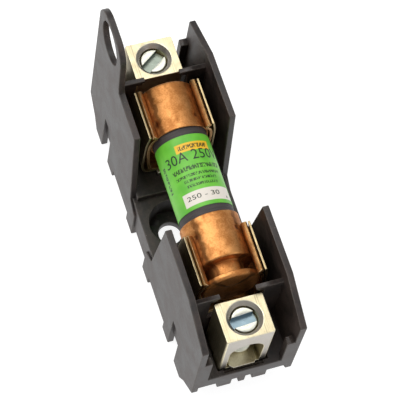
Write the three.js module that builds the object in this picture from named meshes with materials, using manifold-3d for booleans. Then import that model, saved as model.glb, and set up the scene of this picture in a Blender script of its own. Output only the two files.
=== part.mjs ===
// One-pole fuse block with a cartridge fuse fitted.
// Millimetres. X across the block, Y along it, Z up, origin under the middle of the feet.

import * as THREE from 'three';
import { mergeVertices, toCreasedNormals } from 'three/addons/utils/BufferGeometryUtils.js';
import Module from 'manifold-3d';

const wasm = await Module();
wasm.setup();
const { Manifold } = wasm;

// ---- driving dimensions ----

const blockWidth = 25;
const blockLength = 82.8;
const wall = 1.6;
const wallTop = 36.9;
const floorTop = 14;
const floorBottom = 9.8;
const recessHeight = 3.2;      // underside between the feet
const axisHeight = 27.6;       // fuse axis above the feet
const gap = 0.1;               // running and seating clearance
const seat = 0.3;              // clearance where a part rests in a pocket

const halfWidth = blockWidth / 2;
const halfLength = blockLength / 2;
const innerWall = halfWidth - wall;

const ear = { top: 51.5, near: 24.9, corner: 4.6, holeY: 33.4, holeZ: 45.2, holeRadius: 5.3 };
const link = { halfWidth: 11.9, halfLength: 9.4, top: 12.1 };
const mountHole = { x: -4.3, radius: 2.9, headRadius: 5.75, headFloor: 5.4 };
const divider = { y: 28.8, thickness: 1.2, top: 32.5, halfGap: 4.3, stepGap: 3.2, gapFloor: 22 };
const hook = { start: 25.2, end: 29.9, depth: 0.9, top: 14.2, throughTop: 6 };
const post = { inner: 9, thickness: 2, top: 24.3 };
const toe = { inner: 2.6, outer: 6.1, bottom: 6.9, nubHalf: 0.8 };
const rib = { places: [14.5, 33.5], thickness: 1.4, bossRadius: 3.9, bossBottom: 6.4 };

const fuse = { radius: 7.15, length: 51.5, wallThickness: 0.45 };
const farCap = { inner: 13.3 };
const nearCap = { inner: -9.2, grooveFar: -20.6, grooveNear: -24.4, neckRadius: 4.4 };
const tube = { radius: 6.6, bore: 5.2, near: -18.9, far: 24.3 };
const label = { near: -7.1, far: 11.4, thickness: 0.1 };

const clip = { near: 12.8, far: 25.7, thickness: 0.7, base: 15.5, top: 33.6, corner: 1.2 };
const backSpring = { thickness: 0.5, inset: 0.1, top: 33.7 };
const strip = { thickness: 1.2, bottom: 13.5, width: 9, tongueWidth: 6.8, start: 12.2, end: 40.3 };
const rivet = { y: 19.2, radius: 1.5, headRadius: 2.5, headThickness: 1.2, under: 7.7, seatTop: 16.3 };
const rejection = { near: -23.1, far: -22.1, halfFoot: 4.2, halfWidth: 5.8, halfTop: 5.3 };
const lug = { y: 34.6, halfWidth: 5.87, halfLength: 4.95, top: 30.5, bottom: 11.7, corner: 0.35 };
const wireWay = { halfWidth: 4.1, springing: 21.6, floor: 13.4 };
const countersink = { radius: 4.3, depth: 1.1 };
const screw = { radius: 3.3, top: 29.4, shoulder: 17.9, tip: 15.6, slotWidth: 2.5, slotDepth: 1.6 };
const footPin = { radius: 1.2, height: 0.8 };    // of the pressure foot, in the screw's end

const element = { slotHalfWidth: 3.4, slotHalfHeight: 0.35, halfWidth: 3, neck: 1, notch: 0.7, half: 0.12 };
const absorber = { radius: 3.4, near: 5.2, far: 7.7 };
const trigger = { head: 3.1, stem: 0.9, tip: 1.4, near: -2.2, headTop: -1.2, neck: 4.6, far: 5.1 };
const spring = { turns: 5, coilRadius: 2.1, wire: 0.28, start: -0.8, end: 4.6 };
const heater = { near: -6.6, far: 7.4, half: 1.6, waist: 0.7, bottom: -4.2, top: -3.9 };

// ---- materials ----

const colours = {
  thermoplastic: [0x2c2a29, 0.55, 0],
  copper: [0xb5713c, 0.35, 1],
  springSteel: [0xcfc7b4, 0.3, 1],
  tinPlate: [0xd9d3bd, 0.35, 1],
  zincPlate: [0xc8d2d6, 0.28, 1],
  capCopper: [0xc07a40, 0.38, 1],
  fibre: [0x4a4545, 0.75, 0],
  labelPaper: [0x6fc242, 0.6, 0],
  washerFibre: [0x8a6a4a, 0.8, 0],
  silverAlloy: [0xc9c6c0, 0.3, 1],
  brass: [0xb08d46, 0.35, 1],
  sand: [0xd8cfb8, 0.95, 0],
};

function material(slot) {
  const [color, roughness, metalness] = colours[slot];
  return new THREE.MeshStandardMaterial({ name: slot, color, roughness, metalness });
}

// ---- shape helpers ----

// An outline swept along one axis. Outlines are [y, z] along x, [x, z] along y and [x, y] along z.
function shapeOf(outline) {
  return outline instanceof THREE.Shape
    ? outline
    : new THREE.Shape(outline.map(([u, v]) => new THREE.Vector2(u, v)));
}

function sweep(outline, depth, curveSegments = 12) {
  return new THREE.ExtrudeGeometry(shapeOf(outline), { depth, bevelEnabled: false, curveSegments });
}

function alongX(outline, x0, x1, curveSegments) {
  const turn = new THREE.Matrix4().makeBasis(
    new THREE.Vector3(0, 1, 0), new THREE.Vector3(0, 0, 1), new THREE.Vector3(1, 0, 0));
  return solid(sweep(outline, x1 - x0, curveSegments).applyMatrix4(turn).translate(x0, 0, 0));
}

function alongY(outline, y0, y1, curveSegments) {
  const turn = new THREE.Matrix4().makeBasis(
    new THREE.Vector3(1, 0, 0), new THREE.Vector3(0, 0, 1), new THREE.Vector3(0, -1, 0));
  return solid(sweep(outline, y1 - y0, curveSegments).applyMatrix4(turn).translate(0, y1, 0));
}

function alongZ(outline, z0, z1, curveSegments) {
  return solid(sweep(outline, z1 - z0, curveSegments).translate(0, 0, z0));
}

function box(x0, x1, y0, y1, z0, z1) {
  return solid(new THREE.BoxGeometry(x1 - x0, y1 - y0, z1 - z0)
    .translate((x0 + x1) / 2, (y0 + y1) / 2, (z0 + z1) / 2));
}

// A turned body. Profile points are [radius, position along the axis].
function turned(profile, axis, segments = 40) {
  const geometry = new THREE.LatheGeometry(profile.map(([r, t]) => new THREE.Vector2(r, t)), segments);
  if (axis === 'z') geometry.rotateX(Math.PI / 2);
  return solid(geometry);
}

function rod(radius, z0, z1, x = 0, y = 0, segments = 32) {
  return turned([[0, z0], [radius, z0], [radius, z1], [0, z1]], 'z', segments).translate([x, y, 0]);
}

function ring(outer, inner, y0, y1, segments = 48) {
  return turned([[inner, y0], [outer, y0], [outer, y1], [inner, y1], [inner, y0]], 'y', segments);
}

function disc(radius, y0, y1, segments = 48) {
  return turned([[0, y0], [radius, y0], [radius, y1], [0, y1]], 'y', segments);
}

function solid(geometry) {
  geometry.deleteAttribute('normal');
  geometry.deleteAttribute('uv');
  const merged = mergeVertices(geometry, 1e-5);
  return new Manifold(new wasm.Mesh({
    numProp: 3,
    vertProperties: new Float32Array(merged.attributes.position.array),
    triVerts: new Uint32Array(merged.index.array),
  }));
}

function joined(parts) {
  return parts.reduce((whole, part) => whole.add(part));
}

function cut(body, tools) {
  return tools.reduce((whole, tool) => whole.subtract(tool), body);
}

const mirrorEnd = (body) => body.mirror([0, 1, 0]);
const mirrorSide = (body) => body.mirror([1, 0, 0]);
const bothEnds = (body) => [body, mirrorEnd(body)];
const bothSides = (body) => [body, mirrorSide(body)];

// A body modelled round the fuse axis at z = 0, put at the height of that axis.
const onAxis = (body) => body.translate([0, 0, axisHeight]);

const group = new THREE.Group();

function add(name, slot, body) {
  const mesh = body.getMesh();
  const geometry = new THREE.BufferGeometry();
  geometry.setAttribute('position', new THREE.BufferAttribute(new Float32Array(mesh.vertProperties), 3));
  geometry.setIndex(new THREE.BufferAttribute(new Uint32Array(mesh.triVerts), 1));
  const node = new THREE.Mesh(toCreasedNormals(geometry, Math.PI / 5), material(slot));
  node.name = name;
  group.add(node);
}

// ---- base ----

// Half of a side wall's outline, as [y, z] from the middle of the block to its end.
const wallHalf = [
  [4.8, 9.6], [8.5, 11.8], [10.8, 28], [11.9, wallTop], [29.3, wallTop],
  [halfLength, 32.2], [halfLength, 7.7], [36.6, 3.4], [34.4, 0],
  [20.9, 0], [20.9, recessHeight], [9.1, recessHeight], [9.1, 0], [4.5, 0],
];

function sideWall() {
  return joined(bothEnds(alongX(wallHalf, -halfWidth, -innerWall)));
}

function earPlate() {
  const { top, near, corner } = ear;
  const shape = new THREE.Shape();
  shape.moveTo(near - 1.6, wallTop - 1);
  shape.quadraticCurveTo(near - 0.2, wallTop, near, wallTop + 3);
  shape.lineTo(near + 0.6, top - corner);
  shape.quadraticCurveTo(near + 1.2, top, near + corner + 1.2, top);
  shape.lineTo(halfLength - corner - 1, top);
  shape.quadraticCurveTo(halfLength - 1.2, top - 0.4, halfLength, top - corner);
  shape.lineTo(halfLength, 20);
  shape.lineTo(near - 1.6, 20);
  shape.closePath();
  const hole = alongX(circle(ear.holeY, ear.holeZ, ear.holeRadius), -halfWidth - 1, -innerWall + 1, 40);
  return alongX(shape, -halfWidth, -innerWall, 8).subtract(hole);
}

function circle(u, v, radius) {
  return new THREE.Shape().absarc(u, v, radius, 0, 2 * Math.PI);
}

// The notch under each wall that a rail hook leaves: deep at the bottom, a pocket above.
function hookNotch() {
  const { start, end, depth, top, throughTop } = hook;
  return [
    box(-halfWidth - 1, -innerWall + 1, start, end, -1, throughTop),
    box(-halfWidth - 1, -halfWidth + depth, start, end, throughTop - 1, top),
  ];
}

function crossRib() {
  const { thickness, top, halfGap, stepGap, gapFloor, y } = divider;
  const outline = [
    [-innerWall - 0.2, floorBottom + 1], [-halfGap - 2.1, floorBottom + 1], [-halfGap - 2.1, gapFloor],
    [-halfGap - 2.1, 30.9], [-stepGap - 1.6, 30.9], [-stepGap - 1.6, 31.7],
    [-halfGap, 31.7], [-halfGap, top], [-innerWall - 0.2, top],
  ];
  const left = alongY(outline, y - thickness / 2, y + thickness / 2);
  const sill = box(-innerWall, innerWall, y - thickness / 2, y + thickness / 2, floorTop - 1, gapFloor)
    .subtract(box(-5.3, 5.3, y - 2, y + 2, floorTop - 2, 17.6));
  return joined([...bothSides(left), sill]);
}

function endPosts() {
  const { inner, thickness, top } = post;
  return joined(bothSides(
    box(-innerWall - 0.2, -inner, halfLength - thickness, halfLength, floorBottom, top)));
}

function toes() {
  const { inner, outer, bottom, nubHalf } = toe;
  const tooth = (x0, x1) => box(x0, x1, halfLength - post.thickness, halfLength, bottom, floorBottom + 0.2);
  return joined([...bothSides(tooth(inner, outer)), tooth(-nubHalf, nubHalf)]);
}

function undersideRibs() {
  const { places, thickness, bossRadius, bossBottom } = rib;
  const ribs = places.map((y) => box(-innerWall - 0.2, innerWall + 0.2, y, y + thickness,
    recessHeight, floorBottom + 0.2));
  return joined([...ribs, rod(bossRadius, bossBottom, floorBottom + 0.2, 0, rivet.y)]);
}

function baseBlock() {
  const half = joined([
    box(-innerWall - 0.2, innerWall + 0.2, link.halfLength - 2, halfLength, floorBottom, floorTop),
    crossRib(), endPosts(), toes(), undersideRibs(),
  ]);
  const middle = box(-link.halfWidth, link.halfWidth, -link.halfLength, link.halfLength,
    recessHeight, link.top);
  const walls = joined([sideWall(), mirrorSide(sideWall())]);
  const body = joined([...bothEnds(half), walls, middle, earPlate()]);

  const pocket = box(-lug.halfWidth - seat, lug.halfWidth + seat,
    lug.y - lug.halfLength - seat, lug.y + lug.halfLength + seat, lug.bottom - seat, floorTop + 1);
  const channel = box(-strip.width / 2 - seat, strip.width / 2 + seat,
    strip.start - seat, 40.7, strip.bottom - gap, floorTop + 1);
  const rivetHole = rod(rivet.radius + gap, 0, floorTop + 1, 0, rivet.y);
  const rivetWell = rod(rivet.headRadius + seat, 0, rivet.under + gap, 0, rivet.y);
  const ends = [pocket, channel, rivetHole, rivetWell].flatMap(bothEnds);
  const notches = hookNotch().flatMap(bothSides).flatMap(bothEnds);
  const mounting = [
    rod(mountHole.headRadius, mountHole.headFloor, link.top + 5, mountHole.x, 0, 48),
    rod(mountHole.radius, 0, link.top, mountHole.x, 0, 40),
  ];
  return cut(body, [...ends, ...notches, ...mounting]);
}

// ---- clips, strips and rivets ----

// A bent strip in the [x, z] plane: a centre line given for x > 0, mirrored and thickened.
function bentStrip(points, thickness, y0, y1) {
  const right = new THREE.CatmullRomCurve3(points.map(([x, z]) => new THREE.Vector3(x, z, 0)), false,
    'centripetal').getPoints(26);
  const line = [...right.slice(1).reverse().map((p) => [-p.x, p.y]), ...right.map((p) => [p.x, p.y])];
  const side = (sign) => line.map(([x, z], i) => {
    const before = line[Math.max(i - 1, 0)];
    const after = line[Math.min(i + 1, line.length - 1)];
    const length = Math.hypot(after[0] - before[0], after[1] - before[1]);
    const normal = [-(after[1] - before[1]) / length, (after[0] - before[0]) / length];
    return [x + sign * normal[0] * thickness / 2, z + sign * normal[1] * thickness / 2];
  });
  return alongY([...side(-1), ...side(1).reverse()], y0, y1);
}

// Rounded upper corners for a pair of clip arms.
function armOutline(y0, y1, top, corner) {
  const shape = new THREE.Shape();
  shape.moveTo(y0, 10);
  shape.lineTo(y0, top - corner);
  shape.quadraticCurveTo(y0, top, y0 + corner, top);
  shape.lineTo(y1 - corner, top);
  shape.quadraticCurveTo(y1, top, y1, top - corner);
  shape.lineTo(y1, 10);
  return alongX(shape, -halfWidth, halfWidth, 6);
}

const rivetBore = (z0, z1) => rod(rivet.radius + gap, z0, z1, 0, rivet.y);

function fuseClip() {
  const middle = clip.base + clip.thickness / 2;
  const path = [
    [0, middle], [4.6, middle], [6.2, 16.5], [6.9, 18.4], [7.35, 22], [7.72, axisHeight],
    [7.15, 30.6], [6.2, 32.15], [6.65, 32.75], [7.15, 33.1],
  ];
  return bentStrip(path, clip.thickness, clip.near, clip.far)
    .intersect(armOutline(clip.near, clip.far, clip.top, clip.corner))
    .subtract(rivetBore(14, 17));
}

function clipSpring() {
  const { thickness, inset, top } = backSpring;
  const middle = clip.base - gap - thickness / 2;
  const path = [
    [0, middle], [5.6, middle], [7.6, 15.7], [8.5, 18], [8.62, 23], [8.55, axisHeight],
    [8.3, 30.6], [7.78, 33.15],
  ];
  return bentStrip(path, thickness, clip.near + inset, clip.far - inset)
    .intersect(armOutline(clip.near + inset, clip.far - inset, top, clip.corner))
    .subtract(rivetBore(14, 17));
}

function terminalStrip() {
  const top = strip.bottom + strip.thickness;
  const half = strip.width / 2;
  const tongue = strip.tongueWidth / 2;
  const outline = [
    [-half, strip.start], [half, strip.start], [half, 27.6], [tongue, 29], [tongue, strip.end - 0.8],
    [tongue - 0.8, strip.end], [-tongue + 0.8, strip.end], [-tongue, strip.end - 0.8],
    [-tongue, 29], [-half, 27.6],
  ];
  return alongZ(outline, strip.bottom, top).subtract(rivetBore(strip.bottom - 1, top + 1));
}

function clipRivet() {
  const { radius, headRadius, headThickness, under, seatTop, y } = rivet;
  return turned([
    [0, under - headThickness], [headRadius, under - headThickness], [headRadius, under],
    [radius, under], [radius, seatTop], [headRadius, seatTop], [headRadius - 0.2, seatTop + 0.6],
    [headRadius - 1.1, seatTop + 1.1], [0, seatTop + headThickness],
  ], 'z', 28).translate([0, y, 0]);
}

// A forked plate that stands in the fuse's groove, so that only a grooved fuse goes in.
function rejectionPlate() {
  const plateTop = axisHeight - 1.5;
  const foot = clip.base + clip.thickness + 0.2;
  const reach = nearCap.neckRadius + 0.5;
  const { near, far, halfFoot, halfWidth: half, halfTop } = rejection;
  const shape = new THREE.Shape();
  shape.moveTo(-halfFoot, foot);
  shape.lineTo(halfFoot, foot);
  shape.lineTo(half, 18.8);
  shape.lineTo(half, 23);
  shape.lineTo(halfTop, plateTop);
  shape.absarc(0, axisHeight, reach, -0.32, Math.PI + 0.32, true);
  shape.lineTo(-halfTop, plateTop);
  shape.lineTo(-half, 23);
  shape.lineTo(-half, 18.8);
  shape.closePath();
  return alongY(shape, near, far, 20);
}

// ---- box lugs and their screws ----

function boxLug() {
  const { y, halfWidth: w, halfLength: l, top, bottom, corner } = lug;
  const arch = new THREE.Shape();
  arch.moveTo(-wireWay.halfWidth, wireWay.floor);
  arch.lineTo(wireWay.halfWidth, wireWay.floor);
  arch.lineTo(wireWay.halfWidth, wireWay.springing);
  arch.absarc(0, wireWay.springing, wireWay.halfWidth, 0, Math.PI, false);
  arch.closePath();
  const block = alongZ([
    [-w + corner, y - l], [w - corner, y - l], [w, y - l + corner], [w, y + l - corner],
    [w - corner, y + l], [-w + corner, y + l], [-w, y + l - corner], [-w, y - l + corner],
  ], bottom, top);
  const bore = turned([
    [0, wireWay.springing], [screw.radius + gap, wireWay.springing],
    [screw.radius + gap, top - countersink.depth], [countersink.radius, top],
    [countersink.radius, top + 1], [0, top + 1],
  ], 'z', 40).translate([0, y, 0]);
  return cut(block, [alongY(arch, y - l - 1, y + l + 1, 24), bore]);
}

// The screw turns on a pin of its pressure foot, which only slides.
function lugScrew(slotTurn) {
  const { radius, top, shoulder, slotWidth, slotDepth } = screw;
  const body = turned([
    [0, shoulder + footPin.height + 0.2], [footPin.radius + gap, shoulder + footPin.height + 0.2],
    [footPin.radius + gap, shoulder], [radius - 0.2, shoulder],
    [radius, shoulder + 0.2], [radius, top - 0.3], [radius - 0.3, top], [0, top],
  ], 'z', 40);
  const slot = box(-5, 5, -slotWidth / 2, slotWidth / 2, top - slotDepth, top + 1)
    .rotate([0, 0, slotTurn]);
  return body.subtract(slot).translate([0, lug.y, 0]);
}

function pressureFoot() {
  const { radius, shoulder, tip } = screw;
  const top = shoulder - gap;
  const dome = [];
  for (let i = 0; i <= 6; i++) {
    const angle = (i / 6) * Math.PI / 2;
    dome.push([radius * Math.sin(angle), tip + (top - 0.3 - tip) * (1 - Math.cos(angle))]);
  }
  const pinTop = shoulder + footPin.height;
  return turned([...dome, [radius - 0.1, top], [footPin.radius, top], [footPin.radius, pinTop],
    [0, pinTop]], 'z', 40).translate([0, lug.y, 0]);
}

// ---- fuse ----

function fuseTube() {
  return onAxis(ring(tube.radius, tube.bore, tube.near, tube.far));
}

function fuseLabel() {
  const inner = tube.radius + 0.03;
  return onAxis(ring(inner + label.thickness, inner, label.near, label.far, 64));
}

function plainCap() {
  const { radius, length, wallThickness: t } = fuse;
  const end = length / 2;
  return onAxis(turned([
    [0, end - 0.6], [radius - t, end - 0.6], [radius - t, farCap.inner], [radius, farCap.inner],
    [radius, end - 0.7], [radius - 0.2, end - 0.2], [radius - 0.7, end], [0, end],
  ], 'y', 56));
}

function groovedCap() {
  const { radius, length, wallThickness: t } = fuse;
  const end = -length / 2;
  const { inner, grooveFar, grooveNear, neckRadius } = nearCap;
  return onAxis(turned([
    [0, end], [radius - 1.6, end + 0.05], [radius - 0.5, end + 0.45], [radius, grooveNear - 0.1],
    [radius - 0.2, grooveNear], [neckRadius, grooveNear], [neckRadius, grooveFar],
    [radius - 0.4, grooveFar], [radius, grooveFar + 0.5], [radius, inner], [radius - t, inner],
    [radius - t, grooveFar + 0.8], [0, grooveFar + 0.8],
  ], 'y', 56));
}

// A disc or plug round the fuse axis with a slot for the fuse element.
function slottedDisc(radius, y0, y1, segments) {
  const { slotHalfWidth: w, slotHalfHeight: h } = element;
  return onAxis(disc(radius, y0, y1, segments).subtract(box(-w, w, y0 - 1, y1 + 1, -h, h)));
}

const closingWasher = (y0, y1) => slottedDisc(fuse.radius - fuse.wallThickness - gap, y0, y1, 40);
const borePlug = (y0, y1) => slottedDisc(tube.bore - gap, y0, y1, 36);

// A flat link with rows of narrow necks, where it melts on a short circuit.
function shortCircuitLink(y0, y1, necks) {
  const { halfWidth: full, neck, notch, half } = element;
  const pitch = (y1 - y0) / (necks + 1);
  const edge = [[full, y0]];
  for (let i = 1; i <= necks; i++) {
    const y = y0 + i * pitch;
    edge.push([full, y - notch], [neck, y], [full, y + notch]);
  }
  edge.push([full, y1]);
  const outline = [...edge, ...edge.map(([x, y]) => [-x, y]).reverse()];
  return onAxis(alongZ(outline, -half, half));
}

function heatAbsorber() {
  return onAxis(disc(absorber.radius, absorber.near, absorber.far, 32));
}

function triggerPlunger() {
  const { head, stem, tip, near, headTop, neck, far } = trigger;
  return onAxis(turned([
    [0, near], [head, near], [head, headTop], [stem, headTop], [stem, neck], [tip, neck + 0.2],
    [tip, far], [0, far],
  ], 'y', 28));
}

// Round-wire spring round the plunger, closed at both ends.
function triggerSpring() {
  const { turns, coilRadius, wire, start, end } = spring;
  const points = [];
  for (let i = 0; i <= turns * 12; i++) {
    const angle = (i / 12) * 2 * Math.PI;
    points.push(new THREE.Vector3(coilRadius * Math.cos(angle),
      start + (end - start) * i / (turns * 12), coilRadius * Math.sin(angle)));
  }
  const path = new THREE.CatmullRomCurve3(points);
  const geometry = new THREE.ExtrudeGeometry(circle(0, 0, wire),
    { steps: turns * 16, extrudePath: path, curveSegments: 4, bevelEnabled: false });
  return onAxis(solid(geometry));
}

// A flat strip below the trigger's path, from the near partition to under the absorber.
function heaterStrip() {
  const { near, far, half, waist, bottom, top } = heater;
  const edge = [[half, near], [half, near + 1.8], [waist, near + 2.4], [waist, far - 3.8],
    [half, far - 3.2], [half, far]];
  const outline = [...edge, ...edge.map(([x, y]) => [-x, y]).reverse()];
  return onAxis(alongZ(outline, bottom, top));
}

// ---- assembly ----

add('base_block', 'thermoplastic', baseBlock());

add('terminal_strip_far', 'tinPlate', terminalStrip());
add('terminal_strip_near', 'tinPlate', mirrorEnd(terminalStrip()));
add('clip_spring_far', 'springSteel', clipSpring());
add('clip_spring_near', 'springSteel', mirrorEnd(clipSpring()));
add('fuse_clip_far', 'copper', fuseClip());
add('fuse_clip_near', 'copper', mirrorEnd(fuseClip()));
add('clip_rivet_far', 'zincPlate', clipRivet());
add('clip_rivet_near', 'zincPlate', mirrorEnd(clipRivet()));
add('rejection_plate', 'zincPlate', rejectionPlate());

add('box_lug_far', 'tinPlate', boxLug());
add('box_lug_near', 'tinPlate', mirrorEnd(boxLug()));
add('lug_screw_far', 'zincPlate', lugScrew(35));
add('lug_screw_near', 'zincPlate', mirrorEnd(lugScrew(-4)));
add('pressure_foot_far', 'zincPlate', pressureFoot());
add('pressure_foot_near', 'zincPlate', mirrorEnd(pressureFoot()));

add('fuse_tube', 'fibre', fuseTube());
add('fuse_label', 'labelPaper', fuseLabel());
add('end_cap_plain', 'capCopper', plainCap());
add('end_cap_grooved', 'capCopper', groovedCap());
add('closing_washer_far', 'washerFibre', closingWasher(24.4, 25.05));
add('closing_washer_near', 'washerFibre', closingWasher(-19.7, -19));
add('partition_far', 'washerFibre', borePlug(7.8, 8.4));
add('partition_near', 'washerFibre', borePlug(-7.5, -6.9));
add('sand_fill_far', 'sand', borePlug(8.5, 24.2));
add('sand_fill_near', 'sand', borePlug(-18.8, -7.6));
add('short_circuit_link_far', 'silverAlloy', shortCircuitLink(7.75, 25.1, 4));
add('short_circuit_link_near', 'silverAlloy', shortCircuitLink(-19.75, -6.7, 3));
add('heat_absorber', 'brass', heatAbsorber());
add('trigger_plunger', 'brass', triggerPlunger());
add('trigger_spring', 'springSteel', triggerSpring());
add('heater_strip', 'silverAlloy', heaterStrip());

export default group;
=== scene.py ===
import math

import bmesh
import bpy
from mathutils import Matrix, Vector


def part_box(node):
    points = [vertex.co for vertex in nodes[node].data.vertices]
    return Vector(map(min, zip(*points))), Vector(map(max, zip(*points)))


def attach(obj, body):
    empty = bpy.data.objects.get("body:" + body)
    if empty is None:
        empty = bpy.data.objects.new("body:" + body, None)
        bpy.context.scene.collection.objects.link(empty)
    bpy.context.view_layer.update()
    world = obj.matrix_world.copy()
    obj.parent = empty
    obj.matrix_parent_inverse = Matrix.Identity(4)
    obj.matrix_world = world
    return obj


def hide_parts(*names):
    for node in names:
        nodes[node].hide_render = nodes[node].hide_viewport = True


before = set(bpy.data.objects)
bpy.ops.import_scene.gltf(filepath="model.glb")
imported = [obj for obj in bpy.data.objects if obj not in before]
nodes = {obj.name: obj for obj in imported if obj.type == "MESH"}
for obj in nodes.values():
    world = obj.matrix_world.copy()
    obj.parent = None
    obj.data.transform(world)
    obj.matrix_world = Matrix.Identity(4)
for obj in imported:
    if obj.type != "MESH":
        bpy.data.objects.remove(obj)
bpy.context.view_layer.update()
mm = 0.001
print("stage: frame loaded,", len(nodes), "nodes")


def middleOf(node):
    low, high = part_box(node)
    return (low + high) / 2 / mm


def spanOf(node, axis):
    # lowest and highest place along an axis: 0, 1 or 2 for X, Y or Z
    low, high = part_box(node)
    return low[axis] / mm, high[axis] / mm


def radiusOf(node):
    # half the width of a round node
    low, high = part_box(node)
    return (high.x - low.x) / 2 / mm


# in millimetres, as every mesh is until it is finished
fuseAxis = Vector((0, 0, middleOf("fuse_tube").z))
ends = ("far", "near")


# camera, light and floor, lengths in millimetres and angles in degrees

view = {
    "target": (1.82, 0.47, 20.0),
    "distance": 462.25,
    "azimuth": -30.871,
    "elevation": 63.895,
    "roll": 14.336,
    "lens": 174.91,
}


def makeCamera():
    azimuth, elevation = math.radians(view["azimuth"]), math.radians(view["elevation"])
    back = Vector((math.sin(azimuth) * math.cos(elevation), -math.cos(azimuth) * math.cos(elevation),
                   math.sin(elevation)))
    right = Vector((0, 0, 1)).cross(back).normalized()
    up = back.cross(right)
    turn = Matrix((right, up, back)).transposed() @ Matrix.Rotation(math.radians(view["roll"]), 3, "Z")
    place = (Vector(view["target"]) + back * view["distance"]) * mm
    lens = bpy.data.cameras.new("camera")
    lens.lens = view["lens"]
    lens.sensor_width = 36
    lens.clip_start = 0.01
    camera = bpy.data.objects.new("camera", lens)
    camera.matrix_world = Matrix.Translation(place) @ turn.to_4x4()
    bpy.context.scene.collection.objects.link(camera)
    bpy.context.scene.camera = camera


studio = {
    "sky": (0.97, 0.98, 1.0),
    "skyStrength": 0.5,
    "floor": (0.3, 0.3, 0.3),
    "floorGlow": 0.88,
    "floorReach": 1.5,    # metres from its middle to each side
    "lamps": [
        # name, place in mm, aimed at, size in mm, watts, colour
        ("keyLamp", (-260, 130, 520), (0, 0, 20), 460, 1.9, (1.0, 0.98, 0.95)),
        ("fillLamp", (330, -330, 380), (0, 0, 20), 380, 0.5, (0.98, 0.99, 1.0)),
        ("stripLamp", (120, 230, 520), (0, 0, 25), 300, 0.5, (1.0, 0.99, 0.96)),
    ],
}


def makeStudio():
    world = bpy.data.worlds.new("studio")
    world.use_nodes = True
    background = world.node_tree.nodes["Background"]
    background.inputs["Color"].default_value = (*studio["sky"], 1)
    background.inputs["Strength"].default_value = studio["skyStrength"]
    scene = bpy.context.scene
    scene.world = world
    scene.view_settings.view_transform = "Standard"
    scene.view_settings.look = "None"
    for name, place, aim, size, watts, colour in studio["lamps"]:
        lamp = bpy.data.lights.new(name, "AREA")
        lamp.shape = "SQUARE"
        lamp.size = size * mm
        lamp.energy = watts
        lamp.color = colour
        holder = bpy.data.objects.new(name, lamp)
        direction = Vector(aim) - Vector(place)
        holder.matrix_world = (Matrix.Translation(Vector(place) * mm)
                               @ direction.to_track_quat("-Z", "Y").to_matrix().to_4x4())
        scene.collection.objects.link(holder)

    bm = bmesh.new()
    bmesh.ops.create_grid(bm, x_segments=1, y_segments=1, size=studio["floorReach"])
    mesh = bpy.data.meshes.new("floor")
    bm.to_mesh(mesh)
    bm.free()
    floor = bpy.data.objects.new("floor", mesh)
    scene.collection.objects.link(floor)
    material = bpy.data.materials.new("paleFloor")
    material.use_nodes = True
    shader = material.node_tree.nodes["Principled BSDF"]
    shader.inputs["Base Color"].default_value = (*studio["floor"], 1)
    shader.inputs["Roughness"].default_value = 0.9
    shader.inputs["Emission Color"].default_value = (1, 1, 1, 1)
    shader.inputs["Emission Strength"].default_value = studio["floorGlow"]
    mesh.materials.append(material)


makeCamera()
makeStudio()
print("stage: camera and studio ready")


# shader nodes, and the effects that several materials share

def colourOf(red, green, blue):
    # a screen colour, 0 to 255, as the linear colour a shader takes
    def linear(value):
        share = value / 255
        return share / 12.92 if share <= 0.04045 else ((share + 0.055) / 1.055) ** 2.4
    return (linear(red), linear(green), linear(blue), 1)


def addNode(tree, kind, inputs=None, **settings):
    node = tree.nodes.new("ShaderNode" + kind)
    for key, value in settings.items():
        setattr(node, key, value)
    for socket, value in (inputs or {}).items():
        if isinstance(value, bpy.types.NodeSocket):
            tree.links.new(value, node.inputs[socket])
        else:
            node.inputs[socket].default_value = value
    return node


def calculate(tree, operation, *values):
    node = addNode(tree, "Math", dict(enumerate(values)), operation=operation)
    return node.outputs[0]


def spread(tree, value, low, high, bottom=0.0, top=1.0, smooth=False):
    node = addNode(tree, "MapRange", {"Value": value, "From Min": low, "From Max": high,
                                      "To Min": bottom, "To Max": top})
    if smooth:
        node.interpolation_type = "SMOOTHSTEP"
    return node.outputs["Result"]


def mixColour(tree, share, first, second, blend="MIX"):
    node = addNode(tree, "Mix", {0: share, 6: first, 7: second}, data_type="RGBA", blend_type=blend)
    return node.outputs[2]


def noise(tree, vector, scale, detail=3.0, roughness=0.55, distortion=0.0):
    node = addNode(tree, "TexNoise", {"Vector": vector, "Scale": scale, "Detail": detail,
                                      "Roughness": roughness, "Distortion": distortion})
    return node.outputs["Fac"]


def objectMillimetres(tree, centre=(0, 0, 0), stretch=(1, 1, 1)):
    # Object coordinates in millimetres, measured from a centre and stretched for grain
    coordinates = addNode(tree, "TexCoord")
    moved = addNode(tree, "Mapping", {"Vector": coordinates.outputs["Object"],
                                      "Location": [-c * s for c, s in zip(centre, stretch)],
                                      "Scale": [s / mm for s in stretch]})
    return moved.outputs["Vector"]


def newGroup(name, inputs, outputs):
    group = bpy.data.node_groups.new(name, "ShaderNodeTree")
    for label, kind, value in inputs:
        socket = group.interface.new_socket(label, in_out="INPUT", socket_type=kind)
        if value is not None:
            socket.default_value = value
    for label, kind in outputs:
        group.interface.new_socket(label, in_out="OUTPUT", socket_type=kind)
    return group, group.nodes.new("NodeGroupInput").outputs, group.nodes.new("NodeGroupOutput").inputs


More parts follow.
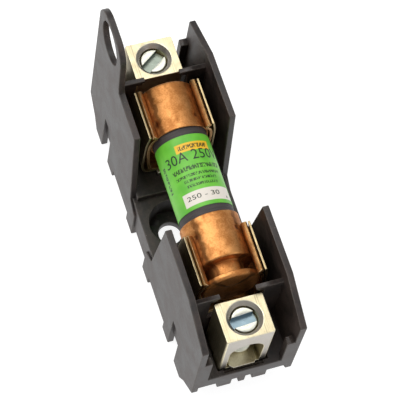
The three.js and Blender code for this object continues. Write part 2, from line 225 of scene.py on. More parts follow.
def makeEdgeWear():
    # bare or polished edges, which on the plastic are partly a painted highlight: the bevelled faces,
    # broken up by noise
    group, given, result = newGroup(
        "edgeWear",
        [("Vector", "NodeSocketVector", None), ("Scale", "NodeSocketFloat", 0.6),
         ("Amount", "NodeSocketFloat", 1.0)],
        [("Mask", "NodeSocketFloat")])
    edge = addNode(group, "Attribute", attribute_name="edge").outputs["Fac"]
    broken = spread(group, noise(group, given["Vector"], given["Scale"], 4.0), 0.35, 0.6, 0.35, 1.0)
    worn = calculate(group, "MULTIPLY", edge, broken)
    group.links.new(calculate(group, "MULTIPLY", worn, given["Amount"]), result["Mask"])
    return group


def makeSpecks():
    # dust and pits: small round spots, few of them kept
    group, given, result = newGroup(
        "specks",
        [("Vector", "NodeSocketVector", None), ("Scale", "NodeSocketFloat", 1.0),
         ("Size", "NodeSocketFloat", 0.2), ("Share", "NodeSocketFloat", 0.3)],
        [("Mask", "NodeSocketFloat")])
    cells = addNode(group, "TexVoronoi", {"Vector": given["Vector"], "Scale": given["Scale"],
                                          "Randomness": 1.0})
    spot = calculate(group, "LESS_THAN", cells.outputs["Distance"], given["Size"])
    chosen = addNode(group, "SeparateColor", {"Color": cells.outputs["Color"]}).outputs["Red"]
    kept = calculate(group, "LESS_THAN", chosen, given["Share"])
    group.links.new(calculate(group, "MULTIPLY", spot, kept), result["Mask"])
    return group


def makeTarnish():
    # cloudy patches over a finer mottle, 0 for clean and 1 for dull
    group, given, result = newGroup(
        "tarnish",
        [("Vector", "NodeSocketVector", None), ("Scale", "NodeSocketFloat", 0.2),
         ("Contrast", "NodeSocketFloat", 0.2)],
        [("Mask", "NodeSocketFloat"), ("Height", "NodeSocketFloat")])
    cloud = noise(group, given["Vector"], given["Scale"], 5.0, 0.6, 0.6)
    fine = noise(group, given["Vector"], calculate(group, "MULTIPLY", given["Scale"], 9.0), 4.0, 0.6)
    both = calculate(group, "ADD", calculate(group, "MULTIPLY", cloud, 0.65),
                     calculate(group, "MULTIPLY", fine, 0.35))
    low = calculate(group, "SUBTRACT", 0.5, given["Contrast"])
    high = calculate(group, "ADD", 0.5, given["Contrast"])
    group.links.new(spread(group, both, low, high, smooth=True), result["Mask"])
    group.links.new(fine, result["Height"])
    return group


sharedEffects = {"edgeWear": makeEdgeWear(), "specks": makeSpecks(), "tarnish": makeTarnish()}


def useEffect(tree, name, **values):
    node = addNode(tree, "Group", node_tree=sharedEffects[name])
    for label, value in values.items():
        if isinstance(value, bpy.types.NodeSocket):
            tree.links.new(value, node.inputs[label])
        else:
            node.inputs[label].default_value = value
    return node.outputs


def newMaterial(name, roughness, metallic=0.0, **shaderValues):
    material = bpy.data.materials.new(name)
    material.use_nodes = True
    shader = material.node_tree.nodes["Principled BSDF"]
    shader.inputs["Roughness"].default_value = roughness
    shader.inputs["Metallic"].default_value = metallic
    for label, value in shaderValues.items():
        shader.inputs[label.replace("_", " ")].default_value = value
    return material, material.node_tree, shader.inputs


def connect(tree, shader, **sockets):
    for label, value in sockets.items():
        tree.links.new(value, shader[label.replace("_", " ")])


def bump(tree, height, strength, distance=0.05):
    # distance is in millimetres
    node = addNode(tree, "Bump", {"Height": height, "Strength": strength, "Distance": distance * mm})
    return node.outputs["Normal"]


# materials, with colours as 0 to 255 on a screen

plasticLook = {
    "dark": (26, 22, 20), "pale": (66, 53, 48), "edge": (86, 80, 73), "dust": (140, 132, 126),
    "gloss": (0.4, 0.52), "mottleScale": 0.16, "mottleContrast": 0.16, "streakScale": 0.9,
    "rubbingAndHighlight": 0.55, "dustSize": 0.09, "dustShare": 0.25, "dustStrength": 0.5,
    "grainScale": 5.0, "relief": 0.16,
}


def makeMouldedPlastic():
    look = plasticLook
    material, tree, shader = newMaterial("mouldedPlastic", 0.42, IOR=1.52)
    plain = objectMillimetres(tree)
    flow = objectMillimetres(tree, stretch=(1, 0.25, 1))
    mottle = useEffect(tree, "tarnish", Vector=plain, Scale=look["mottleScale"],
                       Contrast=look["mottleContrast"])
    streaks = noise(tree, flow, look["streakScale"], 5.0, 0.65, 1.2)
    shade = calculate(tree, "MULTIPLY", mottle["Mask"], spread(tree, streaks, 0.3, 0.7, 0.4, 1.0))
    colour = mixColour(tree, shade, colourOf(*look["dark"]), colourOf(*look["pale"]))
    # lighter bevelled edges on the plastic: partly rubbing, partly a painted highlight
    rubbed = useEffect(tree, "edgeWear", Vector=plain, Scale=0.5, Amount=look["rubbingAndHighlight"])["Mask"]
    colour = mixColour(tree, rubbed, colour, colourOf(*look["edge"]))
    dusty = useEffect(tree, "specks", Vector=plain, Scale=1.1, Size=look["dustSize"],
                      Share=look["dustShare"])["Mask"]
    colour = mixColour(tree, calculate(tree, "MULTIPLY", dusty, look["dustStrength"]), colour,
                       colourOf(*look["dust"]))
    gloss = calculate(tree, "ADD", spread(tree, mottle["Mask"], 0, 1, *look["gloss"]),
                      calculate(tree, "MULTIPLY", rubbed, 0.1))
    grain = calculate(tree, "ADD", noise(tree, plain, look["grainScale"], 2.0),
                      calculate(tree, "MULTIPLY", streaks, 0.8))
    connect(tree, shader, Base_Color=colour, Roughness=gloss,
            Normal=bump(tree, grain, look["relief"], 0.04))
    return material


def makeCopper(name, look):
    # drawn or rolled copper: cloudy tarnish, small dark pits and bright rubbed edges
    material, tree, shader = newMaterial(name, 0.3, 1.0)
    plain = objectMillimetres(tree)
    along = objectMillimetres(tree, stretch=look["grain"])
    stain = useEffect(tree, "tarnish", Vector=plain, Scale=look["stainScale"], Contrast=look["contrast"])
    colour = mixColour(tree, stain["Mask"], colourOf(*look["clean"]), colourOf(*look["stained"]))
    pits = useEffect(tree, "specks", Vector=plain, Scale=1.5, Size=0.16, Share=0.22)["Mask"]
    colour = mixColour(tree, calculate(tree, "MULTIPLY", pits, 0.55), colour, colourOf(*look["pitAndShade"]))
    if look.get("bands"):
        # painted shade: dark stripes along the barrel, beside the lips of the clips, where dark inner
        # walls would be reflected, and painted shade in the punch marks
        spot = addNode(tree, "SeparateXYZ", {"Vector": objectMillimetres(tree, tuple(fuseAxis))}).outputs
        angle = calculate(tree, "ARCTAN2", spot["X"], spot["Z"])
        angle = calculate(tree, "MULTIPLY", angle, 180 / math.pi)
        wavy = spread(tree, noise(tree, plain, 0.5, 3.0), 0.3, 0.7, -5.0, 5.0)
        for middle, half in look["bands"]:
            away = calculate(tree, "ABSOLUTE", calculate(tree, "SUBTRACT",
                                                         calculate(tree, "ADD", angle, wavy), middle))
            shadeStripe = spread(tree, away, half * 0.3, half, look["shadeBandDepth"], 0.0, smooth=True)
            colour = mixColour(tree, shadeStripe, colour, colourOf(*look["pitAndShade"]))
        # painted shade in the dimples, darkest at their middles
        dent = addNode(tree, "Attribute", attribute_name="dent").outputs["Fac"]
        colour = mixColour(tree, spread(tree, dent, 0.35, 0.8, 0.0, look["dentShadeDepth"]), colour,
                           colourOf(*look["pitAndShade"]))
    rubbed = useEffect(tree, "edgeWear", Vector=plain, Scale=0.7, Amount=look["edgeAmount"])["Mask"]
    colour = mixColour(tree, rubbed, colour, colourOf(*look["edge"]))
    lines = noise(tree, along, 6.0, 3.0)
    gloss = calculate(tree, "ADD", spread(tree, stain["Mask"], 0, 1, look["gloss"], look["gloss"] + 0.16),
                      spread(tree, lines, 0.3, 0.7, -0.03, 0.05))
    relief = calculate(tree, "ADD", calculate(tree, "MULTIPLY", lines, 0.5), stain["Height"])
    connect(tree, shader, Base_Color=colour, Roughness=gloss, Normal=bump(tree, relief, 0.12, 0.03))
    return material


def makeBrightMetal(name, look):
    # plated or bare white metal with lines left by rolling, extruding or turning
    material, tree, shader = newMaterial(name, look["gloss"], 1.0)
    centre = look.get("centre", (0, 0, 0))
    plain = objectMillimetres(tree, centre)
    along = objectMillimetres(tree, centre, look["grain"])
    lines = noise(tree, along, look["lineScale"], 4.0, 0.6)
    cloud = useEffect(tree, "tarnish", Vector=plain, Scale=0.35, Contrast=0.2)
    colour = mixColour(tree, calculate(tree, "MULTIPLY", cloud["Mask"], 0.8), colourOf(*look["clean"]),
                       colourOf(*look["dull"]))
    scratched = spread(tree, lines, 0.58, 0.68)
    colour = mixColour(tree, calculate(tree, "MULTIPLY", scratched, look["lineShade"]), colour,
                       colourOf(*look["line"]))
    for place, reach in look.get("drawLines", []):
        across = addNode(tree, "SeparateXYZ", {"Vector": plain}).outputs["X"]
        away = calculate(tree, "ABSOLUTE", calculate(tree, "SUBTRACT", across, place))
        faint = spread(tree, noise(tree, along, 0.5, 2.0), 0.35, 0.6)
        line = calculate(tree, "MULTIPLY", spread(tree, away, reach * 0.5, reach, 0.7, 0.0), faint)
        colour = mixColour(tree, line, colour, colourOf(*look["line"]))
    # painted shade on the lug's sawn ends and in the screw slots, and the grey of the machined sink
    if look.get("cut"):
        cutShadeMask = addNode(tree, "Attribute", attribute_name="cut").outputs["Fac"]
        colour = mixColour(tree, calculate(tree, "MULTIPLY", cutShadeMask, 0.95), colour,
                           colourOf(*look["cut"]))
    # painted shade on the inner faces of the lug's hollow
    if look.get("insideShade"):
        hollowShade = addNode(tree, "Attribute", attribute_name="insideShade").outputs["Fac"]
        colour = mixColour(tree, hollowShade, colour, colourOf(*look["insideShade"]))
    rubbed = useEffect(tree, "edgeWear", Vector=plain, Scale=0.9, Amount=0.8)["Mask"]
    colour = mixColour(tree, rubbed, colour, colourOf(*look["edge"]))
    gloss = calculate(tree, "ADD", look["gloss"], spread(tree, cloud["Mask"], 0, 1, -0.04, 0.1))
    relief = lines
    if look.get("turned"):
        spot = addNode(tree, "SeparateXYZ", {"Vector": plain}).outputs
        reach = calculate(tree, "SQRT", calculate(tree, "ADD", calculate(tree, "POWER", spot["X"], 2.0),
                                                  calculate(tree, "POWER", spot["Y"], 2.0)))
        rings = calculate(tree, "SINE", calculate(tree, "MULTIPLY", reach, look["turned"]))
        relief = calculate(tree, "ADD", relief, calculate(tree, "MULTIPLY", rings, 0.25))
    connect(tree, shader, Base_Color=colour, Roughness=gloss,
            Normal=bump(tree, relief, look["relief"], 0.03))
    return material


def makeFibre(name, dark, pale, gloss):
    # wound vulcanised fibre: faint bands round the tube and short flecks
    material, tree, shader = newMaterial(name, gloss)
    plain = objectMillimetres(tree)
    bands = noise(tree, objectMillimetres(tree, stretch=(0.2, 2.2, 0.2)), 1.4, 4.0)
    flecks = noise(tree, plain, 3.2, 5.0, 0.7)
    shade = calculate(tree, "ADD", calculate(tree, "MULTIPLY", bands, 0.6),
                      calculate(tree, "MULTIPLY", flecks, 0.4))
    colour = mixColour(tree, spread(tree, shade, 0.35, 0.62), colourOf(*dark), colourOf(*pale))
    connect(tree, shader, Base_Color=colour, Normal=bump(tree, flecks, 0.3, 0.04),
            Roughness=spread(tree, flecks, 0.2, 0.8, gloss - 0.08, gloss + 0.1))
    return material


printing = {
    "green": (112, 196, 60), "deepGreen": (92, 178, 50), "ink": (24, 44, 20), "wornInk": (44, 70, 38),
    "field": (226, 219, 208), "panel": (238, 186, 36),
    # low and high along the fuse in mm, first and last angle from the top in degrees
    "fieldBox": (-6.1, -2.8, -47.5, 66),
    "panelBox": (7.25, 9.4, -29.5, 45),
    # rows of strokes: middle, height, first and last angle, size of a stroke, share of ink
    "lines": [
        (3.05, 1.15, -52, 57, 0.34, 0.46),
        (1.25, 0.75, -49, 50, 0.22, 0.47),
        (-0.05, 0.7, -33, 38, 0.22, 0.47),
        (-1.4, 0.7, -30, 37, 0.22, 0.47),
        (8.35, 1.1, -24, 39, 0.3, 0.45),
    ],
    "sideMarks": (-0.8, 6.2, -76, -68),
    "blur": (0.06, 0.6),    # of a box's edges, in mm along and degrees round
    "inkStrength": 0.86,
}


def makeLabelPaper():
    material, tree, shader = newMaterial("labelPaper", 0.4, Coat_Roughness=0.25, IOR=1.48)
    place = objectMillimetres(tree, tuple(fuseAxis))
    parts = addNode(tree, "SeparateXYZ", {"Vector": place}).outputs
    along = parts["Y"]
    angle = calculate(tree, "MULTIPLY", calculate(tree, "ARCTAN2", parts["X"], parts["Z"]),
                      180 / math.pi)
    girth = calculate(tree, "MULTIPLY", angle, math.pi / 180 * radiusOf("fuse_label"))

    def band(value, low, high, soft):
        rise = spread(tree, value, low - soft, low + soft)
        return calculate(tree, "SUBTRACT", rise, spread(tree, value, high - soft, high + soft))

    def boxMask(low, high, first, last):
        softAlong, softRound = printing["blur"]
        return calculate(tree, "MULTIPLY", band(along, low, high, softAlong),
                         band(angle, first, last, softRound))

    def strokes(across, up, size, share, seed):
        # short upright strokes with gaps, in place of letters
        spot = addNode(tree, "CombineXYZ", {"X": calculate(tree, "DIVIDE", across, size),
                                            "Y": calculate(tree, "DIVIDE", up, size * 2.4),
                                            "Z": seed * 3.7}).outputs["Vector"]
        return spread(tree, noise(tree, spot, 1.0, 1.0), share - 0.012, share + 0.012)

    cloud = noise(tree, place, 0.22, 3.0)
    colour = mixColour(tree, spread(tree, cloud, 0.35, 0.65), colourOf(*printing["green"]),
                       colourOf(*printing["deepGreen"]))
    colour = mixColour(tree, boxMask(*printing["fieldBox"]), colour, colourOf(*printing["field"]))
    colour = mixColour(tree, boxMask(*printing["panelBox"]), colour, colourOf(*printing["panel"]))
    ink = None
    for seed, (middle, height, first, last, size, share) in enumerate(printing["lines"]):
        line = calculate(tree, "MULTIPLY", strokes(girth, along, size, share, seed),
                         boxMask(middle - height / 2, middle + height / 2, first, last))
        ink = line if ink is None else calculate(tree, "MAXIMUM", ink, line)
    marks = calculate(tree, "MULTIPLY", strokes(along, girth, 0.24, 0.48, 11),
                      boxMask(*printing["sideMarks"]))
    ink = calculate(tree, "MAXIMUM", ink, marks)
    colour = mixColour(tree, calculate(tree, "MULTIPLY", ink, printing["inkStrength"]), colour,
                       colourOf(*printing["ink"]))
    pulp = noise(tree, place, 7.0, 3.0)
    connect(tree, shader, Base_Color=colour, Roughness=spread(tree, pulp, 0.2, 0.8, 0.34, 0.48),
            Normal=bump(tree, pulp, 0.12, 0.02))
    return material


def makeInk():
    material, tree, shader = newMaterial("labelInk", 0.45)
    worn = noise(tree, objectMillimetres(tree), 3.0, 3.0)
    colour = mixColour(tree, spread(tree, worn, 0.45, 0.7), colourOf(*printing["ink"]),
                       colourOf(*printing["wornInk"]))
    connect(tree, shader, Base_Color=colour)
    return material


sandLook = {"pale": (226, 214, 188), "brown": (176, 158, 128), "grainScale": 2.6}


def makeSand():
    material, tree, shader = newMaterial("quartzSand", 0.9)
    plain = objectMillimetres(tree)
    grains = addNode(tree, "TexVoronoi", {"Vector": plain, "Scale": sandLook["grainScale"]}).outputs
    tint = addNode(tree, "SeparateColor", {"Color": grains["Color"]}).outputs["Red"]
    colour = mixColour(tree, tint, colourOf(*sandLook["pale"]), colourOf(*sandLook["brown"]))
    connect(tree, shader, Base_Color=colour, Normal=bump(tree, grains["Distance"], 0.7, 0.15))
    return material


looks = {
    # pitAndShade is the colour of real pits and of the painted shade in the stripes and dimples
    "capCopper": {"clean": (214, 152, 92), "stained": (182, 120, 66), "pitAndShade": (84, 46, 24),
                  "edge": (244, 200, 140), "edgeAmount": 0.5, "gloss": 0.4, "stainScale": 0.3,
                  "contrast": 0.13, "grain": (1, 0.3, 1),
                  # painted shade stripes, for the dark walls seen in reflection: angle from the top and
                  # half width in degrees
                  "bands": [(-41, 9), (44, 10)], "shadeBandDepth": 0.62, "dentShadeDepth": 0.75},
    "clipCopper": {"clean": (208, 162, 106), "stained": (152, 110, 66), "pitAndShade": (66, 36, 22),
                   "edge": (240, 206, 156), "edgeAmount": 1.0, "gloss": 0.32, "stainScale": 0.4,
                   "contrast": 0.16, "grain": (1, 0.25, 1)},
    "springSteel": {"clean": (186, 166, 124), "dull": (142, 126, 96), "line": (104, 94, 74),
                    "edge": (222, 206, 166), "gloss": 0.34, "grain": (3, 0.2, 3), "lineScale": 1.6,
                    "lineShade": 0.5, "relief": 0.2},
    "lugTin": {"clean": (234, 222, 186), "dull": (216, 203, 166), "line": (170, 158, 130),
               # cut is painted shade on the sawn ends and grey on the machined sink; insideShade is
               # painted shade in the hollow
               "edge": (240, 234, 210), "cut": (184, 179, 172), "insideShade": (186, 176, 144),
               "gloss": 0.38, "grain": (4, 0.12, 4), "lineScale": 1.1, "lineShade": 0.55, "relief": 0.35,
               "drawLines": [(3.75, 0.14), (4.25, 0.12), (-4.4, 0.16), (-4.95, 0.1)]},
    "stripTin": {"clean": (236, 228, 206), "dull": (204, 192, 164), "line": (150, 138, 112),
                 "edge": (252, 248, 236), "gloss": 0.3, "grain": (3, 0.2, 3), "lineScale": 1.5,
                 "lineShade": 0.5, "relief": 0.25},
    "zincPlate": {"clean": (214, 220, 224), "dull": (176, 182, 186), "line": (120, 124, 128),
                  "edge": (244, 248, 250), "gloss": 0.26, "grain": (1, 1, 3), "lineScale": 1.8,
                  "lineShade": 0.4, "relief": 0.2},
    "linkSilver": {"clean": (232, 230, 224), "dull": (190, 186, 178), "line": (140, 136, 130),
                   "edge": (250, 250, 246), "gloss": 0.28, "grain": (3, 0.3, 3), "lineScale": 1.6,
                   "lineShade": 0.4, "relief": 0.2},
    "turnedBrass": {"clean": (226, 190, 110), "dull": (180, 142, 74), "line": (120, 90, 44),
                    "edge": (246, 222, 160), "gloss": 0.24, "grain": (0.3, 3, 0.3), "lineScale": 1.6,
                    "lineShade": 0.4, "relief": 0.2},
}

materials = {
    "plastic": makeMouldedPlastic(),
    "capCopper": makeCopper("capCopper", looks["capCopper"]),
    "clipCopper": makeCopper("clipCopper", looks["clipCopper"]),
    "tubeFibre": makeFibre("tubeFibre", (40, 36, 36), (66, 60, 59), 0.6),
    "washerFibre": makeFibre("washerFibre", (110, 84, 58), (150, 120, 86), 0.75),
    "labelPaper": makeLabelPaper(),
    "labelInk": makeInk(),
    "quartzSand": makeSand(),
}
for lookName in ("springSteel", "lugTin", "stripTin", "zincPlate", "linkSilver", "turnedBrass"):
    materials[lookName] = makeBrightMetal(lookName, looks[lookName])

screwLook = dict(looks["zincPlate"], clean=(226, 226, 210), dull=(200, 202, 190), gloss=0.3, turned=16.0)
# painted shade, tinted, in each screw's slot
slotShadeColours = {"far": (132, 142, 132), "near": (128, 150, 162)}
for end in ends:
    turnedLook = dict(screwLook, centre=tuple(middleOf("lug_screw_" + end)), cut=slotShadeColours[end])
    materials["screwZinc_" + end] = makeBrightMetal("screwZinc_" + end, turnedLook)
print("stage: materials ready,", len(materials))


# mesh helpers, all in millimetres

def markFaces(bm, name, chosen):
    # marks sawn, machined and inner faces, so that a material can paint shade on them or grey them
    mark = bm.faces.layers.float.get(name) or bm.faces.layers.float.new(name)
    for face in bm.faces:
        if chosen(face):
            face[mark] = 1.0


def cadCopy(node):
    bm = bmesh.new()
    bm.from_mesh(nodes[node].data)
    bmesh.ops.scale(bm, vec=(1 / mm,) * 3, verts=bm.verts)
    bmesh.ops.remove_doubles(bm, verts=bm.verts, dist=0.004)
    bmesh.ops.dissolve_degenerate(bm, edges=bm.edges, dist=0.004)
    bmesh.ops.dissolve_limit(bm, angle_limit=math.radians(1.5), verts=bm.verts, edges=bm.edges)
    return bm


def roundEdges(bm, width, segments=2, sharpest=28, chosen=None):
    # rounds the outer edges and marks the new faces, so that a material can find them
    mark = bm.faces.layers.float.get("edge") or bm.faces.layers.float.new("edge")
    edges = [e for e in bm.edges if e.is_manifold and e.is_convex
             and e.calc_face_angle(0) > math.radians(sharpest) and (chosen is None or chosen(e))]
    made = bmesh.ops.bevel(bm, geom=edges, offset=width, offset_type="OFFSET", segments=segments,
                           profile=0.5, affect="EDGES", clamp_overlap=False, material=-1,
                           loop_slide=True)
    for face in made["faces"]:
        face[mark] = 1.0


def spun(profile, steps=96, cuts=None):
    # turns a profile of (radius, place along Y) about the fuse axis; cuts add rings on a long edge
    bm = bmesh.new()
    points = [bm.verts.new((radius, along, 0)) for radius, along in profile]
    lines = [bm.edges.new(pair) for pair in zip(points, points[1:])]
    for index, count in (cuts or {}).items():
        bmesh.ops.subdivide_edges(bm, edges=[lines[index]], cuts=count)
    bmesh.ops.spin(bm, geom=bm.verts[:] + bm.edges[:], cent=(0, 0, 0), axis=(0, 1, 0),
                   angle=2 * math.pi, steps=steps, use_merge=True)
    bmesh.ops.remove_doubles(bm, verts=bm.verts, dist=0.001)
    bmesh.ops.recalc_face_normals(bm, faces=bm.faces)
    return bm


def toFuseAxis(bm):
    bmesh.ops.translate(bm, vec=fuseAxis, verts=bm.verts)
    return bm


def quarterTurn(steps):
    # angles from 0 to a right angle, for a rounded corner
    return [math.pi / 2 * step / steps for step in range(steps + 1)]


def standUp(bm, node):
    # a body spun about Y becomes one about Z, over the middle of a node
    centre = middleOf(node)
    bmesh.ops.rotate(bm, cent=(0, 0, 0), matrix=Matrix.Rotation(math.pi / 2, 3, "X"), verts=bm.verts)
    bmesh.ops.translate(bm, vec=(centre.x, centre.y, 0), verts=bm.verts)
    return bm


def meshObject(name, bm):
    bmesh.ops.scale(bm, vec=(mm,) * 3, verts=bm.verts)
    mesh = bpy.data.meshes.new(name)
    bm.to_mesh(mesh)
    bm.free()
    piece = bpy.data.objects.new(name, mesh)
    bpy.context.scene.collection.objects.link(piece)
    return piece


def carved(bm, cutter):
    # bm with the cutter's shape taken out
    body, tool = meshObject("body", bm), meshObject("tool", cutter)
    boolean = body.modifiers.new("carve", "BOOLEAN")
    boolean.object = tool
    boolean.solver = "EXACT"
    mesh = bpy.data.meshes.new_from_object(body.evaluated_get(bpy.context.evaluated_depsgraph_get()))
    result = bmesh.new()
    result.from_mesh(mesh)
    bmesh.ops.scale(result, vec=(1 / mm,) * 3, verts=result.verts)
    for item in (body, tool):
        bpy.data.objects.remove(item)
    bpy.data.meshes.remove(mesh)
    return result


def finished(name, bm, material, slotName, body, standsFor, smooth=32):
    piece = meshObject(name, bm)
    piece.data.shade_smooth()
    piece.data.set_sharp_from_angle(angle=math.radians(smooth))
    piece.data.materials.append(materials[material])
    level = piece.modifiers.new("evenShading", "WEIGHTED_NORMAL")
    level.keep_sharp = True
    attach(piece, body)
    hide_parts(standsFor)
    return piece


# the moulded block, a CAD copy with rounded edges

blockFinish = {"edgeRadius": 0.22, "segments": 2}


def makeBlock():
    bm = cadCopy("base_block")
    roundEdges(bm, blockFinish["edgeRadius"], blockFinish["segments"])
    finished("mouldedBlock", bm, "plastic", "moulded_thermoplastic", "block", "base_block")


makeBlock()
print("stage: block moulded")


# sheet-metal parts and the rivets that hold them

sheetFinish = {
    # stem of the node's name: material, slot, edge radius
    "fuse_clip": ("clipCopper", "clip_copper", 0.12),
    "clip_spring": ("springSteel", "spring_steel", 0.1),
    "terminal_strip": ("stripTin", "tinned_strip", 0.16),
}
forkFinish = {"edgeRadius": 0.1}
bentEdge = 50    # degrees: a blank's cut edges are sharper than its bends


def makeClipParts(end):
    for stem, (material, slotName, radius) in sheetFinish.items():
        bm = cadCopy(stem + "_" + end)
        roundEdges(bm, radius, sharpest=bentEdge)
        finished(stem + "Skin_" + end, bm, material, slotName, "block", stem + "_" + end)


def makeRejectionFork():
    bm = cadCopy("rejection_plate")
    roundEdges(bm, forkFinish["edgeRadius"], sharpest=bentEdge)
    finished("rejectionFork", bm, "zincPlate", "zinc_plate", "block", "rejection_plate")


rivetFinish = {
    "steps": 48,
    "shank": 1.5,
    "headHeight": 1.2,
    "chamfer": 0.3,
    # the upset head: share of its radius, drop below its top
    "dome": [(1, 0.9), (0.86, 0.45), (0.6, 0.12), (0.3, 0)],
}


def makeRivet(end):
    node = "clip_rivet_" + end
    bottom, top = spanOf(node, 2)
    head = radiusOf(node)
    shank, height, chamfer = (rivetFinish[key] for key in ("shank", "headHeight", "chamfer"))
    profile = [(0, bottom), (head - chamfer, bottom), (head, bottom + chamfer), (head, bottom + height),
               (shank, bottom + height), (shank, top - height), (head, top - height)]
    profile += [(head * share, top - drop) for share, drop in rivetFinish["dome"]] + [(0, top)]
    finished("clipRivetHead_" + end, standUp(spun(profile, rivetFinish["steps"]), node), "zincPlate",
             "zinc_plate", "block", node)


for end in ends:
    makeClipParts(end)
makeRejectionFork()
for end in ends:
    makeRivet(end)
print("stage: clips, springs, strips and rivets bent")


# box lugs, their screws and pressure feet

lugFinish = {
    "edgeRadius": 0.16,
    "boreReach": 3.7,    # edges nearer than this to the screw's axis stay square
    "sinkReach": 4.25,
    "sinkDepth": 1.3,
    "endReach": 4,       # the sawn ends lie further than this from the screw's axis
    "skin": 0.4,         # an inner face lies deeper than this
}


def makeLug(end):
    node = "box_lug_" + end
    bm = cadCopy(node)
    axis = middleOf("lug_screw_" + end)
    low, high = (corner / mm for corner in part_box(node))
    skin, sinkFloor = lugFinish["skin"], high.z - lugFinish["sinkDepth"]

    def fromAxis(spot):
        return math.hypot(spot.x - axis.x, spot.y - axis.y)

    def takesCutShade(face):
        # the sawn ends, which take painted shade, and the sink round the screw, machined grey
        middle = face.calc_center_median()
        sawn = abs(face.normal.y) > 0.95 and abs(middle.y - axis.y) > lugFinish["endReach"]
        return sawn or (fromAxis(middle) < lugFinish["sinkReach"] and middle.z > sinkFloor
                        and face.normal.z < 0.98)

    def isInside(face):
        middle = face.calc_center_median()
        return (abs(face.normal.y) < 0.9 and low.z + skin < middle.z < sinkFloor
                and low.x + skin < middle.x < high.x - skin)

    roundEdges(bm, lugFinish["edgeRadius"], sharpest=35,
               chosen=lambda e: any(fromAxis(v.co) > lugFinish["boreReach"] for v in e.verts))
    bm.normal_update()
    markFaces(bm, "cut", takesCutShade)
    # the hollow's inner faces take painted shade
    markFaces(bm, "insideShade", isInside)
    finished("lugBlock_" + end, bm, "lugTin", "tinned_aluminium", "block", node)


screwFinish = {
    "steps": 64,
    "pitch": 0.907,
    "threadDepth": 0.28,
    "slotWidth": 2.5,
    "slotDepth": 1.6,
    "slotTurn": {"far": 35, "near": 4},    # degrees
    "rim": 0.15,
    "neck": 0.9,                           # plain length under the top
    "socket": (1.32, 1),                   # radius and depth of the hole for the foot's stem
    "edgeRadius": 0.07,
}


def makeScrew(end):
    node = "lug_screw_" + end
    bottom, top = spanOf(node, 2)
    radius = radiusOf(node)
    root = radius - screwFinish["threadDepth"]
    rim, pitch = screwFinish["rim"], screwFinish["pitch"]
    hole, deep = screwFinish["socket"]
    profile = [(0, bottom + deep), (hole, bottom + deep), (hole, bottom), (root, bottom)]
    height = bottom
    while height + pitch < top - screwFinish["neck"]:
        profile += [(radius, height + pitch * 0.4), (radius, height + pitch * 0.6),
                    (root, height + pitch)]
        height += pitch
    profile += [(root, top - rim), (root - rim, top), (0, top)]

    centre = middleOf(node)
    turn = Matrix.Rotation(math.radians(screwFinish["slotTurn"][end]), 3, "Z")
    bar = Vector((10, screwFinish["slotWidth"], 4))    # longer than the head is wide, to cut the slot
    slot = bmesh.new()
    bmesh.ops.create_cube(slot, size=1)
    bmesh.ops.scale(slot, vec=bar, verts=slot.verts)
    bmesh.ops.translate(slot, vec=(0, 0, top - screwFinish["slotDepth"] + bar.z / 2), verts=slot.verts)
    bmesh.ops.rotate(slot, cent=(0, 0, 0), matrix=turn, verts=slot.verts)
    bmesh.ops.translate(slot, vec=(centre.x, centre.y, 0), verts=slot.verts)
    bm = carved(standUp(spun(profile, screwFinish["steps"]), node), slot)

    near = 0.03    # a face this near the slot's sides belongs to it
    topFace, floorFace = top - 0.02, top - screwFinish["slotDepth"] - 0.05
    across = turn @ Vector((0, 1, 0))

    def inSlot(face):
        middle = face.calc_center_median()
        aside = abs((middle - Vector((centre.x, centre.y, 0))).dot(across))
        return floorFace < middle.z < topFace and aside < screwFinish["slotWidth"] / 2 + near

    # the slot's faces take painted shade
    markFaces(bm, "cut", inSlot)
    roundEdges(bm, screwFinish["edgeRadius"], sharpest=40,
               chosen=lambda e: all(v.co.z > topFace for v in e.verts))
    finished("clampScrew_" + end, bm, "screwZinc_" + end, "screw_plate", "screw_" + end, node)


footFinish = {"steps": 64, "stemRadius": 1.2, "stemHeight": 0.9, "rimHeight": 0.3, "rimInset": 0.1}


def makeFoot(end):
    node = "pressure_foot_" + end
    bottom, top = spanOf(node, 2)
    radius, stem = radiusOf(node), footFinish["stemRadius"]
    shoulder = top - footFinish["stemHeight"]
    rise = shoulder - footFinish["rimHeight"] - bottom
    profile = [(radius * math.sin(a), bottom + rise * (1 - math.cos(a))) for a in quarterTurn(12)]
    profile += [(radius - footFinish["rimInset"], shoulder), (stem, shoulder), (stem, top), (0, top)]
    bm = standUp(spun(profile, footFinish["steps"]), node)
    finished("pressureFoot_" + end, bm, "screwZinc_" + end, "screw_plate", "foot_" + end, node)


for make in (makeLug, makeScrew, makeFoot):
    for end in ends:
        make(end)
print("stage: lugs and screws cut")


# the fuse: caps, tube, label and the figures on it

capFinish = {
    "steps": 144,
    "wall": 0.45,
    "chamfer": 0.12,
    "boreChamfer": 0.1,
    "bend": 0.75,        # outer corner of the plain cap
    "endWall": 0.6,
    "dish": [(2.2, 0), (1.9, 0.12)],    # radius and depth of the flat in the plain cap's end
    # the groove, by its places along the fuse
    "grooveFar": -20.6, "grooveNear": -24.4, "neck": 4.4, "neckFillet": 0.35,
    "lip": 0.5, "rim": 0.7, "innerWall": 0.8, "flangeDish": [(1.9, 0.1), (2.2, 0)],
    # rows of vertices along each barrel, for the dimples to sink in
    "rows": {"end_cap_plain": 34, "end_cap_grooved": 32},
    # dimples that hold each cap: place along the fuse and angle from the top, degrees
    "dimples": {"end_cap_plain": [(16.5, -49), (16.5, 38.5), (16.5, 131), (16.5, -139)],
                "end_cap_grooved": [(-13.6, -48), (-13.6, 42), (-13.6, 132), (-13.6, -138)]},
    "dimpleRadius": 0.75,
    "dimpleDepth": 0.42,
}


